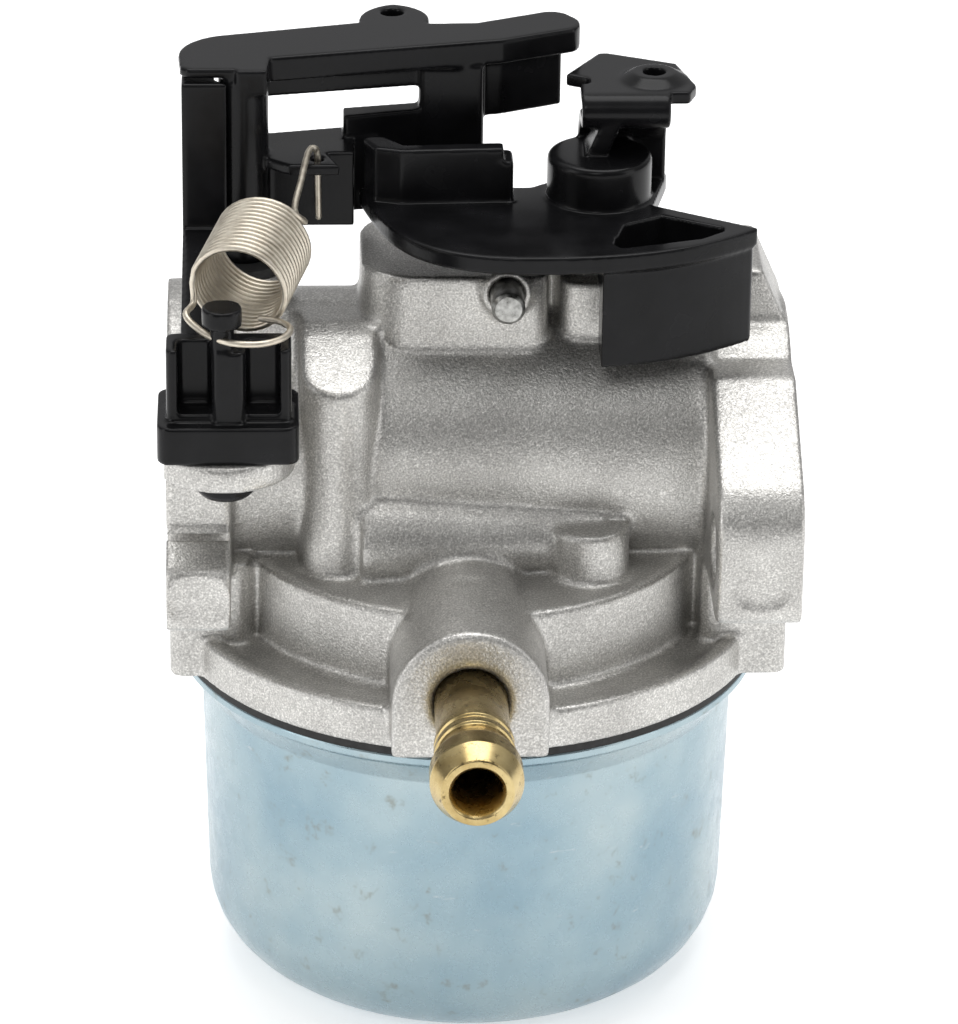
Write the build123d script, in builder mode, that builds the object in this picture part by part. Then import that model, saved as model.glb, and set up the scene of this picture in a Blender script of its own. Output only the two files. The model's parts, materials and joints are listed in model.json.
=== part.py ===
from build123d import *
import math
import os

# Float-bowl carburetor for a small engine, in millimetres. +X runs along the throat from the
# engine flange to the air flange, -Y points to the fuel inlet, and +Z is up.
# Heights below are drawn from the throat axis. save() lifts every piece by the same step, so
# that the finished part's origin is midway between the engine stud holes, on the flange face.

# ---------------------------------------------------------------- driving dimensions
AIR_FACE_X = 61.4            # throat length, flange face to flange face
BOWL_X = 30.0                # bowl axis, from the engine face
GASKET_Z = -22.0             # underside of the casting, where the bowl seals
BOWL_DEPTH = 35.7            # casting underside to the bottom of the bowl
BOWL_RIM_R = 29.4
BOWL_TOP_R = 27.0
BOWL_BOTTOM_R = 26.2
BOWL_WALL = 0.8
GASKET_THICK = 0.8

THROTTLE_BORE_R = 7.8
VENTURI_R = 6.5
CHOKE_BORE_R = 10.0
BARREL_R = 13.7
ENGINE_FLANGE_THICK = 6.2
AIR_FLANGE_THICK = 8.4
BOLT_HOLE_R = 3.3
BOLT_Y = 21.0                # flange bolt holes, each side of the throat
BOLT_Z = -4.5

THROTTLE_X = 7.6             # throttle pivot, a vertical axis through the throat
CHOKE_X = 42.5               # choke pivot, parallel to it
THROTTLE_STEM_R = 2.0
UPPER_STEM_R = 2.45          # the stem above its seal
CHOKE_STEM_R = 2.0
RUNNING_GAP = 0.06           # radial clearance of each stem in its bore
THROTTLE_REST_ANGLE = 14.0   # degrees from the throat axis, nearly wide open
CHOKE_REST_ANGLE = 62.0      # degrees from the throat axis, nearly shut
PLATE_THICK = 0.9
PLATE_GAP = 0.15             # butterfly to bore, all round
THROTTLE_BOSS_TOP = 17.2
CHOKE_BOSS_TOP = 20.4
SEAL_THICK = 0.9

FLANGE_FRONT_Y = -27.0
FLANGE_BOTTOM_Z = -10.5
DISC_R = 29.8
DISC_TOP_Z = -18.4
TIER_R = 24.0
TIER_TOP_Z = -10.0
CAVITY_R = 21.5
CAVITY_ROOF_Z = -14.2
SIDE_BLOCK_Y = 13.0

INLET_X = 29.2
INLET_Z = -15.1
INLET_FACE_Y = -33.0
INLET_BOSS_R = 7.6
BARB_TIP_Y = -51.0
BARB_SHANK_R = 3.55
BARB_R = 4.45
BARB_BORE_R = 2.4

STOP_PIN = (33.2, 17.4)      # x and height of the choke stop pin
STOP_PIN_R = 1.65
SCREW = (15.0, -2.0)         # x and height of the mixture screw

TOWER_X = 16.8
TOWER_R = 3.8

NEEDLE_Y = -13.6
HINGE_Y = -19.4
HINGE_Z = -27.0
HINGE_PIN_R = 0.9
PEDESTAL_R = 5.6
PEDESTAL_END_Z = -52.7
EMULSION_R = 1.6
BOLT_THREAD_R = 3.0
RECESS_Z = -53.5             # outside of the dished centre of the bowl floor
BOWL_FLOOR_Z = GASKET_Z - BOWL_DEPTH

EAR_X = 5.8                  # bracket ear on the engine flange
EAR_Y = -26.3
EAR_R = 6.75
EAR_TOP_Z = 9.9
EAR_THICK = 2.7
SNAP_R = 2.5

LEVER_TOP_Z = 38.3           # upper face of the throttle lever
LEVER_THICK = 2.6
PEG_X = 28.1
PEG_Y = 7.2
LOWER_ARM_Z = (21.2, 28.9)
LINK_HOLE_R = 1.1
GOVERNOR_HOLE = (22.4, 14.5)

CHOKE_PLATE_Z = (22.6, 24.4)  # the choke lever's base plate
HUB_R = 5.15
HUB_TOP_Z = 28.9
WEIGHT_BOTTOM_Z = 12.6
WEIGHT_STEP_Z = 18.4         # the counterweight is narrower below this height
WEIGHT_WALL = 1.2
LINK_PLATE_TOP = 35.2
LINK_SHEET = 1.3             # thickness of the link arm
LINK_HOLE = (47.9, 3.6)

COLUMN_X = (1.6, 4.8)        # bracket column, beside the throttle stem
COLUMN_BACK_Y = 0.3
COLUMN_TOP_Z = 37.0
COLUMN_SWEEP_R = 6.9         # the throttle lever's underside is hollowed this far over the column
COLUMN_ROOF = 1.0            # what is left of the lever there
KNOB = (5.6, -30.0)          # spring post on the bracket
KNOB_NECK_Z = (21.0, 23.4)
TAB_HOLE = (14.8, -1.6)      # spring eye on the throttle lever
SPRING_WIRE_R = 0.32
SPRING_COIL_R = 4.5
SPRING_TURNS = 13
SPRING_PITCH = 0.69

os.makedirs("parts", exist_ok=True)


def save(builder, name):
    """Lift a finished piece to the stud datum, label it and write it as one STEP file."""
    piece = Pos(0, 0, -BOLT_Z) * builder.part
    piece.label = name
    export_step(piece, f"parts/{name}.step")


# ---------------------------------------------------------------- body casting
with BuildPart() as body_casting:
    # Throat barrel between the flanges.
    with BuildSketch(Plane.YZ.offset(ENGINE_FLANGE_THICK / 2)):
        Circle(BARREL_R)
    extrude(amount=AIR_FACE_X - AIR_FLANGE_THICK - ENGINE_FLANGE_THICK / 2 + 0.5)

    # Engine flange: a front lobe, a set-back shoulder that carries the ear, and a back lobe.
    with BuildSketch(Plane.YZ) as engine_outline:
        Circle(14.5)
        with BuildLine():
            Polyline(
                (FLANGE_FRONT_Y, FLANGE_BOTTOM_Z),
                (FLANGE_FRONT_Y, -4.0),
                (-22.2, -1.2),
                (-22.2, EAR_TOP_Z),
                (10.5, EAR_TOP_Z),
                (22.0, 1.0),
                (-FLANGE_FRONT_Y, -4.0),
                (-FLANGE_FRONT_Y, FLANGE_BOTTOM_Z),
                close=True,
            )
        make_face()
        fillet(engine_outline.vertices().filter_by(lambda v: abs(v.X) > 25.0), 1.6)
    extrude(amount=ENGINE_FLANGE_THICK)

    # Air flange: front and back lobes with slanted shoulders round a low ring.
    with BuildSketch(Plane.YZ.offset(AIR_FACE_X - AIR_FLANGE_THICK)) as air_outline:
        with BuildLine():
            Polyline(
                (FLANGE_FRONT_Y, FLANGE_BOTTOM_Z + 0.4),
                (FLANGE_FRONT_Y, 2.4),
                (-12.5, 10.2),
                (12.5, 10.2),
                (-FLANGE_FRONT_Y, 2.4),
                (-FLANGE_FRONT_Y, FLANGE_BOTTOM_Z + 0.4),
                close=True,
            )
        make_face()
        fillet(air_outline.vertices().group_by(Axis.Y)[0], 1.8)
        fillet(air_outline.vertices().filter_by(lambda v: abs(v.X) > 25.0 and v.Y > 0.0), 6.0)
        Circle(12.9)
    extrude(amount=AIR_FLANGE_THICK)

    # Raised pad on top of the air flange, sloped back above the face.
    with BuildSketch(Plane.XZ.offset(-9.0)):
        with BuildLine():
            Polyline((AIR_FACE_X, 6.2), (AIR_FACE_X, 11.5), (AIR_FACE_X - 2.8, 17.8),
                     (AIR_FACE_X - 6.0, 17.8), (AIR_FACE_X - 6.0, 6.2), close=True)
        make_face()
    extrude(amount=12.6)

    # Float-chamber roof: the flat disc, its raised lip and the taller round tier.
    with BuildSketch(Plane.XY.offset(GASKET_Z)):
        with Locations((BOWL_X, 0)):
            Circle(DISC_R)
    extrude(amount=DISC_TOP_Z - GASKET_Z)
    with BuildSketch(Plane.XY.offset(DISC_TOP_Z)):
        with Locations((BOWL_X, 0)):
            Circle(DISC_R)
            Circle(DISC_R - 1.6, mode=Mode.SUBTRACT)
    extrude(amount=0.7)
    with BuildSketch(Plane.XY.offset(GASKET_Z)):
        with Locations((BOWL_X, 0)):
            Circle(TIER_R)
    extrude(amount=TIER_TOP_Z - GASKET_Z)

    # Squared blocks that join each flange to the disc.
    for block_x, block_width in ((4.0, 8.0), (AIR_FACE_X - 4.4, 8.8)):
        with BuildSketch(Plane.XY.offset(GASKET_Z)):
            with Locations((block_x, 0)):
                RectangleRounded(block_width, 2 * SIDE_BLOCK_Y, 1.2)
        extrude(amount=FLANGE_BOTTOM_Z + 1.0 - GASKET_Z)

    # Pilot tower: a half-round column in front of the barrel with a sloping top.
    with BuildSketch(Plane.XY.offset(TIER_TOP_Z - 1.0)):
        with Locations((TOWER_X, -11.7)):
            Circle(TOWER_R)
        with Locations((TOWER_X, -7.0)):
            Rectangle(2 * TOWER_R, 9.4)
    extrude(amount=14.5 - TIER_TOP_Z)
    with BuildSketch(Plane.YZ.offset(TOWER_X - TOWER_R - 0.5)):
        with BuildLine():
            Polyline((-17.0, 9.0), (-15.5, 9.7), (-8.0, 13.0), (-6.0, 13.5), (-2.0, 13.5),
                     (-2.0, 20.0), (-17.0, 20.0), close=True)
        make_face()
    extrude(amount=2 * TOWER_R + 1.0, mode=Mode.SUBTRACT)

    # Upper block on the barrel, and the taller boss round the choke stem.
    with BuildSketch(Plane.XY.offset(8.0)) as upper_block:
        with Locations((28.2, 0.5)):
            Rectangle(18.4, 17.0)
        fillet(upper_block.vertices().group_by(Axis.X)[0], 5.0)
        fillet(upper_block.vertices().group_by(Axis.X)[-1], 1.8)
    extrude(amount=10.9)
    with BuildSketch(Plane.XY.offset(8.0)):
        with Locations((45.4, 0.5)):
            RectangleRounded(13.8, 15.0, 2.0)
    extrude(amount=9.9)
    with BuildSketch(Plane.XY.offset(8.0)):
        with Locations((CHOKE_X, 0)):
            Circle(5.6)
    extrude(amount=CHOKE_BOSS_TOP - 8.0)
    with BuildSketch(Plane.XY.offset(8.0)):
        with Locations((THROTTLE_X, 0)):
            Circle(4.8)
    extrude(amount=THROTTLE_BOSS_TOP - 8.0)

    # Horizontal idle passage, tapered, with a short upright boss at its end.
    with BuildSketch(Plane.YZ.offset(19.0)):
        with Locations((-12.2, -7.0)):
            Circle(4.9)
    extrude(amount=24.0, taper=4.7)
    with BuildSketch(Plane.XY.offset(TIER_TOP_Z - 1.0)):
        with Locations((41.4, -13.5)):
            Circle(4.0)
    extrude(amount=6.2)

    # Boss that carries the choke stop pin.
    with BuildSketch(Plane.XZ.offset(4.0)):
        with Locations(STOP_PIN):
            Circle(2.5)
    extrude(amount=4.9)

    # Fuel inlet boss: an arch with straight sides that runs back into the tier.
    with BuildSketch(Plane.XZ.offset(10.0)):
        with Locations((INLET_X, INLET_Z)):
            Circle(INLET_BOSS_R)
        with Locations((INLET_X, INLET_Z - 10.0)):
            Rectangle(30.0, 20.0, mode=Mode.SUBTRACT)
        with Locations((INLET_X, INLET_Z - 2.95)):
            Rectangle(2 * INLET_BOSS_R, 5.9)
    extrude(amount=-INLET_FACE_Y - 10.0)

    # D-shaped ear for the spring bracket.
    with BuildSketch(Plane.XY.offset(EAR_TOP_Z - EAR_THICK)):
        with Locations((EAR_X, EAR_Y)):
            Circle(EAR_R)
        with Locations((EAR_X - 0.3, EAR_Y + 5.0)):
            Rectangle(2 * EAR_R - 0.6, 10.0)
        with Locations((-10.0, EAR_Y)):
            Rectangle(20.0, 40.0, mode=Mode.SUBTRACT)
    extrude(amount=EAR_THICK)

    # Idle mixture boss low on the far side of the barrel.
    with BuildSketch(Plane.XZ.offset(-8.0)):
        with Locations(SCREW):
            Circle(4.0)
    extrude(amount=-12.0)

    # Throat: throttle bore, venturi and choke bore in one profile turned about the throat axis.
    with BuildSketch(Plane.XZ):
        with BuildLine():
            Polyline(
                (-1.0, 0.0),
                (-1.0, THROTTLE_BORE_R),
                (19.0, THROTTLE_BORE_R),
                (26.0, VENTURI_R),
                (30.5, VENTURI_R),
                (37.5, CHOKE_BORE_R),
                (AIR_FACE_X + 1.0, CHOKE_BORE_R),
                (AIR_FACE_X + 1.0, 0.0),
                close=True,
            )
        make_face()
    revolve(axis=Axis.X, mode=Mode.SUBTRACT)

    # Float chamber roof cavity, then the pieces that hang inside it.
    with BuildSketch(Plane.XY.offset(GASKET_Z)):
        with Locations((BOWL_X, 0)):
            Circle(CAVITY_R)
    extrude(amount=CAVITY_ROOF_Z - GASKET_Z, mode=Mode.SUBTRACT)
    with BuildSketch(Plane.XY.offset(PEDESTAL_END_Z)):
        with Locations((BOWL_X, 0)):
            Circle(PEDESTAL_R)
    extrude(amount=CAVITY_ROOF_Z - PEDESTAL_END_Z + 1.0)
    with BuildSketch(Plane.XY.offset(-20.0)):
        with Locations((BOWL_X, NEEDLE_Y)):
            Circle(4.2)
        with Locations((BOWL_X, NEEDLE_Y - 4.0)):
            Rectangle(8.4, 8.0)
    extrude(amount=7.0)
    for side in (-1, 1):
        with BuildSketch(Plane.XY.offset(HINGE_Z - 2.2)):
            with Locations((BOWL_X + side * 6.6, HINGE_Y)):
                Rectangle(2.6, 4.4)
        extrude(amount=CAVITY_ROOF_Z - HINGE_Z + 3.2)

    # Fuel passages: inlet, needle seat pocket, nozzle well, jet seat and bolt thread.
    with BuildSketch(Plane.XZ.offset(-NEEDLE_Y - 1.0)):
        with Locations((INLET_X, INLET_Z)):
            Circle(BARB_BORE_R)
    extrude(amount=-INLET_FACE_Y + NEEDLE_Y + 2.0, mode=Mode.SUBTRACT)
    with BuildSketch(Plane.XZ.offset(24.0)):
        with Locations((INLET_X, INLET_Z)):
            Circle(BARB_SHANK_R)
    extrude(amount=-INLET_FACE_Y - 23.0, mode=Mode.SUBTRACT)
    with BuildSketch(Plane.XZ.offset(-INLET_FACE_Y - 0.5)):
        with Locations((INLET_X, INLET_Z)):
            Circle(BARB_SHANK_R + 0.45)
    extrude(amount=1.0, mode=Mode.SUBTRACT)
    with BuildSketch(Plane.XY.offset(-21.0)):
        with Locations((BOWL_X, NEEDLE_Y)):
            Circle(2.4)
    extrude(amount=4.6, mode=Mode.SUBTRACT)
    with BuildSketch(Plane.XY.offset(PEDESTAL_END_Z - 1.0)):
        with Locations((BOWL_X, 0)):
            Circle(EMULSION_R)
    extrude(amount=-PEDESTAL_END_Z, mode=Mode.SUBTRACT)
    with BuildSketch(Plane.XY.offset(PEDESTAL_END_Z - 1.0)):
        with Locations((BOWL_X, 0)):
            Circle(2.3)
    extrude(amount=11.0, mode=Mode.SUBTRACT)
    with BuildSketch(Plane.XY.offset(PEDESTAL_END_Z - 1.0)):
        with Locations((BOWL_X, 0)):
            Circle(BOLT_THREAD_R)
    extrude(amount=5.6, mode=Mode.SUBTRACT)
    with BuildSketch(Plane.XZ.offset(-8.0)):
        with Locations((BOWL_X, -47.2)):
            Circle(1.1)
    extrude(amount=16.0, mode=Mode.SUBTRACT)
    with BuildSketch(Plane.YZ.offset(BOWL_X - 9.0)):
        with Locations((HINGE_Y, HINGE_Z)):
            Circle(HINGE_PIN_R)
    extrude(amount=18.0, mode=Mode.SUBTRACT)

    # Stem bores, each blind below the throat.
    for stem_x, stem_r, depth in (
        (THROTTLE_X, THROTTLE_STEM_R, THROTTLE_BORE_R + 3.4),
        (CHOKE_X, CHOKE_STEM_R, CHOKE_BORE_R + 2.6),
    ):
        with BuildSketch(Plane.XY.offset(-depth)):
            with Locations((stem_x, 0)):
                Circle(stem_r + RUNNING_GAP)
        extrude(amount=40.0, mode=Mode.SUBTRACT)

    # Round ejector marks on the flange fronts.
    for mark_x, mark_z in ((3.1, -7.0), (57.4, -5.4)):
        with BuildSketch(Plane.XZ.offset(-FLANGE_FRONT_Y - 0.35)):
            with Locations((mark_x, mark_z)):
                Circle(2.9)
        extrude(amount=1.0, mode=Mode.SUBTRACT)

    # Flange bolt holes, snap hole in the ear, stop pin hole, mixture screw hole, bowl vent.
    with BuildSketch(Plane.YZ.offset(-1.0)):
        with Locations((-BOLT_Y, BOLT_Z), (BOLT_Y, BOLT_Z)):
            Circle(BOLT_HOLE_R)
    extrude(amount=AIR_FACE_X + 2.0, mode=Mode.SUBTRACT)
    with BuildSketch(Plane.XY.offset(EAR_TOP_Z - EAR_THICK - 1.0)):
        with Locations((EAR_X, EAR_Y)):
            Circle(SNAP_R)
    extrude(amount=EAR_THICK + 2.0, mode=Mode.SUBTRACT)
    with BuildSketch(Plane.XZ.offset(3.0)):
        with Locations(STOP_PIN):
            Circle(STOP_PIN_R)
    extrude(amount=7.0, mode=Mode.SUBTRACT)
    with BuildSketch(Plane.XZ.offset(-11.5)):
        with Locations(SCREW):
            Circle(2.2)
    extrude(amount=-10.0, mode=Mode.SUBTRACT)
    with BuildSketch(Plane.YZ.offset(AIR_FACE_X - 12.0)):
        with Locations((6.0, -12.6)):
            Circle(1.0)
    extrude(amount=14.0, mode=Mode.SUBTRACT)
save(body_casting, "body_casting")


# ---------------------------------------------------------------- bowl, gasket and bolt
RIM_Z = GASKET_Z - GASKET_THICK

with BuildPart() as bowl_gasket:
    with BuildSketch(Plane.XY.offset(RIM_Z)):
        with Locations((BOWL_X, 0)):
            Circle(BOWL_RIM_R)
            Circle(BOWL_TOP_R - 1.2, mode=Mode.SUBTRACT)
    extrude(amount=GASKET_THICK)
save(bowl_gasket, "bowl_gasket")

# Deep-drawn cup: flared rim, drafted wall, soft foot, and a dished centre for the bolt.
DISH_R = 10.0
FOOT_R = 8.5
inner_floor = BOWL_FLOOR_Z + BOWL_WALL
inner_dish = RECESS_Z + BOWL_WALL
with BuildPart() as float_bowl:
    with BuildSketch(Plane.XZ):
        with BuildLine():
            FilletPolyline(
                (0.0, RECESS_Z),
                (DISH_R - 1.5, RECESS_Z),
                (DISH_R + 1.5, BOWL_FLOOR_Z),
                (BOWL_BOTTOM_R, BOWL_FLOOR_Z),
                (BOWL_TOP_R, RIM_Z - 4.0),
                (BOWL_TOP_R + 1.4, RIM_Z - 1.5),
                (BOWL_RIM_R, RIM_Z - 0.9),
                radius=(1.0, 1.4, FOOT_R, 1.2, 0.5),
            )
            Polyline(
                (BOWL_RIM_R, RIM_Z - 0.9),
                (BOWL_RIM_R, RIM_Z),
                (BOWL_TOP_R - BOWL_WALL, RIM_Z),
            )
            FilletPolyline(
                (BOWL_TOP_R - BOWL_WALL, RIM_Z),
                (BOWL_BOTTOM_R - BOWL_WALL, inner_floor),
                (DISH_R + 1.9, inner_floor),
                (DISH_R - 1.1, inner_dish),
                (0.0, inner_dish),
                radius=(FOOT_R - BOWL_WALL, 1.0, 1.4),
            )
            Line((0.0, inner_dish), (0.0, RECESS_Z))
        make_face()
    revolve(axis=Axis.Z)
    with BuildSketch(Plane.XY.offset(RECESS_Z - 1.0)):
        Circle(BOLT_THREAD_R + 0.15)
    extrude(amount=3.0, mode=Mode.SUBTRACT)
float_bowl.part.position = (BOWL_X, 0, 0)
save(float_bowl, "float_bowl")

with BuildPart() as bowl_bolt_washer:
    with BuildSketch(Plane.XY.offset(RECESS_Z - 1.0)):
        with Locations((BOWL_X, 0)):
            Circle(6.4)
            Circle(BOLT_THREAD_R + 0.1, mode=Mode.SUBTRACT)
    extrude(amount=1.0)
save(bowl_bolt_washer, "bowl_bolt_washer")

with BuildPart() as bowl_bolt:
    with BuildSketch(Plane.XY.offset(BOWL_FLOOR_Z + 0.6)):
        with Locations((BOWL_X, 0)):
            RegularPolygon(5.5, 6, major_radius=False)
    extrude(amount=RECESS_Z - 1.6 - BOWL_FLOOR_Z)
    chamfer(bowl_bolt.faces().sort_by(Axis.Z)[0].edges(), 0.5)
    with BuildSketch(Plane.XY.offset(RECESS_Z - 1.0)):
        with Locations((BOWL_X, 0)):
            Circle(BOLT_THREAD_R - 0.05)
    extrude(amount=5.2)
save(bowl_bolt, "bowl_bolt")

# ---------------------------------------------------------------- fuel inlet
# Brass hose barb: plain shank, two turned grooves, a swelling barb and a chamfered mouth.
with BuildPart() as fuel_inlet_barb:
    with BuildSketch(Plane.XY):
        with BuildLine():
            Line((BARB_BORE_R, -24.0), (BARB_SHANK_R, -24.0))
            Line((BARB_SHANK_R, -24.0), (BARB_SHANK_R, -40.7))
            Line((BARB_SHANK_R, -40.7), (3.85, -41.2))
            Line((3.85, -41.2), (3.85, -42.0))
            Line((3.85, -42.0), (3.65, -42.2))
            Line((3.65, -42.2), (3.65, -42.6))
            Line((3.65, -42.6), (3.9, -42.9))
            Line((3.9, -42.9), (3.9, -43.7))
            Line((3.9, -43.7), (3.7, -43.9))
            Line((3.7, -43.9), (3.7, -44.2))
            Spline((3.7, -44.2), (BARB_R, -46.7), tangents=((0.6, -1.0), (0.0, -1.0)))
            Line((BARB_R, -46.7), (BARB_R, -48.9))
            Line((BARB_R, -48.9), (3.4, BARB_TIP_Y))
            Line((3.4, BARB_TIP_Y), (BARB_BORE_R + 0.35, BARB_TIP_Y))
            Line((BARB_BORE_R + 0.35, BARB_TIP_Y), (BARB_BORE_R, BARB_TIP_Y + 0.4))
            Line((BARB_BORE_R, BARB_TIP_Y + 0.4), (BARB_BORE_R, -24.0))
        make_face()
    revolve(axis=Axis.Y)
fuel_inlet_barb.part.position = (INLET_X, 0, INLET_Z)
save(fuel_inlet_barb, "fuel_inlet_barb")

# ---------------------------------------------------------------- inside the float chamber
with BuildPart() as needle_seat:
    with BuildSketch(Plane.XY.offset(-20.4)):
        with Locations((BOWL_X, NEEDLE_Y)):
            Circle(2.4)
            Circle(1.25, mode=Mode.SUBTRACT)
    extrude(amount=3.6)
save(needle_seat, "needle_seat")

with BuildPart() as inlet_needle:
    with BuildSketch(Plane.XY.offset(-25.4)):
        with Locations((BOWL_X, NEEDLE_Y)):
            Circle(1.9)
    extrude(amount=4.6)
    with BuildSketch(Plane.XY.offset(-20.8)):
        with Locations((BOWL_X, NEEDLE_Y)):
            Circle(1.15)
    extrude(amount=2.6, taper=12)
save(inlet_needle, "inlet_needle")

with BuildPart() as float_hinge_pin:
    with BuildSketch(Plane.YZ.offset(BOWL_X - 8.6)):
        with Locations((HINGE_Y, HINGE_Z)):
            Circle(HINGE_PIN_R)
    extrude(amount=17.2)
save(float_hinge_pin, "float_hinge_pin")

FLOAT_TOP_Z = -35.0
with BuildPart() as float_ring:
    with BuildSketch(Plane.XY.offset(FLOAT_TOP_Z - 13.0)):
        with Locations((BOWL_X, 0)):
            Circle(21.0)
            Circle(8.2, mode=Mode.SUBTRACT)
    extrude(amount=13.0)
    fillet(float_ring.edges().filter_by(GeomType.CIRCLE), 1.5)
    with BuildSketch(Plane.XY.offset(FLOAT_TOP_Z - 0.5)):
        with Locations((BOWL_X, HINGE_Y + 3.6)):
            Rectangle(9.6, 3.0)
    extrude(amount=7.4)
    with BuildSketch(Plane.XY.offset(-28.1)):
        with Locations((BOWL_X, (HINGE_Y + NEEDLE_Y) / 2 + 0.6)):
            Rectangle(9.6, 9.4)
    extrude(amount=2.4)
    with BuildSketch(Plane.YZ.offset(BOWL_X - 4.8)):
        with Locations((HINGE_Y, HINGE_Z)):
            Circle(2.0)
    extrude(amount=9.6)
    with BuildSketch(Plane.YZ.offset(BOWL_X - 6.0)):
        with Locations((HINGE_Y, HINGE_Z)):
            Circle(HINGE_PIN_R + RUNNING_GAP)
    extrude(amount=12.0, mode=Mode.SUBTRACT)
save(float_ring, "float")

with BuildPart() as emulsion_tube:
    with BuildSketch(Plane.XY.offset(-42.6)):
        with Locations((BOWL_X, 0)):
            Circle(EMULSION_R)
            Circle(0.9, mode=Mode.SUBTRACT)
    extrude(amount=38.6)
save(emulsion_tube, "emulsion_tube")

with BuildPart() as main_jet:
    with BuildSketch(Plane.XY.offset(-45.6)):
        with Locations((BOWL_X, 0)):
            Circle(2.3)
            Circle(0.5, mode=Mode.SUBTRACT)
    extrude(amount=2.9)
save(main_jet, "main_jet")

# ---------------------------------------------------------------- fixed details
with BuildPart() as choke_stop_pin:
    with BuildSketch(Plane.XZ.offset(4.0)):
        with Locations(STOP_PIN):
            Circle(STOP_PIN_R)
    extrude(amount=8.5)
    chamfer(choke_stop_pin.faces().sort_by(Axis.Y)[0].edges(), 0.35)
save(choke_stop_pin, "choke_stop_pin")

with BuildPart() as mixture_screw:
    with BuildSketch(Plane.XZ.offset(-12.0)):
        with Locations(SCREW):
            Circle(2.15)
    extrude(amount=-9.5)
    with BuildSketch(Plane.XZ.offset(-20.0)):
        with Locations(SCREW):
            Circle(3.0)
    extrude(amount=-3.0)
    with BuildSketch(Plane.XZ.offset(-22.2)):
        with Locations(SCREW):
            Rectangle(8.0, 0.9)
    extrude(amount=-2.0, mode=Mode.SUBTRACT)
save(mixture_screw, "mixture_screw")

for seal_name, seal_x, seal_z in (
    ("throttle_stem_seal", THROTTLE_X, THROTTLE_BOSS_TOP),
    ("choke_stem_seal", CHOKE_X, CHOKE_BOSS_TOP),
):
    with BuildPart() as seal:
        with BuildSketch(Plane.XY.offset(seal_z)):
            with Locations((seal_x, 0)):
                Circle(4.4)
                Circle(THROTTLE_STEM_R + RUNNING_GAP, mode=Mode.SUBTRACT)
        extrude(amount=SEAL_THICK)
    save(seal, seal_name)

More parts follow.
